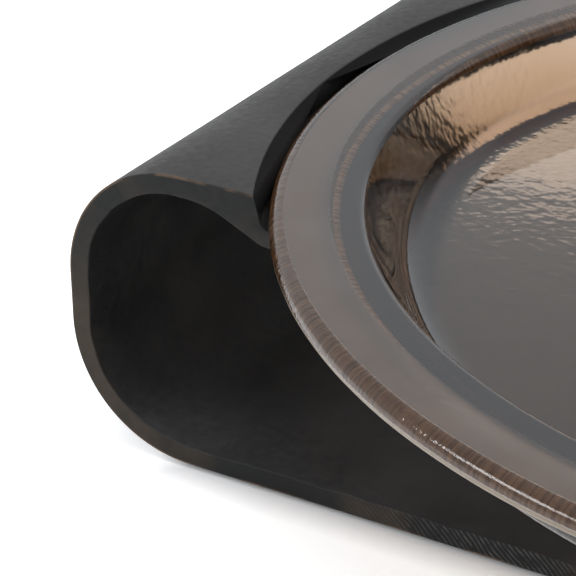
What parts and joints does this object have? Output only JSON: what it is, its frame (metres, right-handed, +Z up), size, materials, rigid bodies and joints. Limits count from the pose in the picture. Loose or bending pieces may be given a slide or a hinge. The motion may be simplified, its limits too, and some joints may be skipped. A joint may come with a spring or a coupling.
{
  "type": "table fire-bowl stand with glass dish",
  "caption": "Low stand of thick dark plate rolled up and over at both ends, with arc-cut lips and welded ledges that carry a wide shallow smoked-glass dish.",
  "frame": {"origin": "middle of the stand, on the surface it stands on, under the dish's axis", "axes": "+X along the plate from the left roll to the right roll, +Y from front to back, +Z up along the dish's axis"},
  "size_m": [0.792, 0.656, 0.15],
  "materials": {
    "patinated_steel": "dark brown-black patina, waxed, rubbed bronze-brown along the cut edges",
    "smoked_glass": "thick smoked-brown cast glass, fire-polished above, finely rippled below",
    "clear_bumper": "clear soft polyurethane",
    "foot_pad": "pale translucent non-slip pad"
  },
  "bodies": {
    "base": {"rolled_plate": "patinated_steel", "seat_ledge_left": "patinated_steel", "seat_ledge_right": "patinated_steel", "bumper_left_front": "clear_bumper", "bumper_left_middle": "clear_bumper", "bumper_left_back": "clear_bumper", "bumper_right_front": "clear_bumper", "bumper_right_middle": "clear_bumper", "bumper_right_back": "clear_bumper", "foot_pad_left_front": "foot_pad", "foot_pad_left_back": "foot_pad", "foot_pad_right_front": "foot_pad", "foot_pad_right_back": "foot_pad"},
    "dish": {"glass_dish": "smoked_glass"}
  },
  "joints": [
    {"name": "dish_lift", "type": "slide", "parent": "base", "child": "dish", "axis": [0, 0, 1], "range_m": [0, 0.2]}
  ]
}
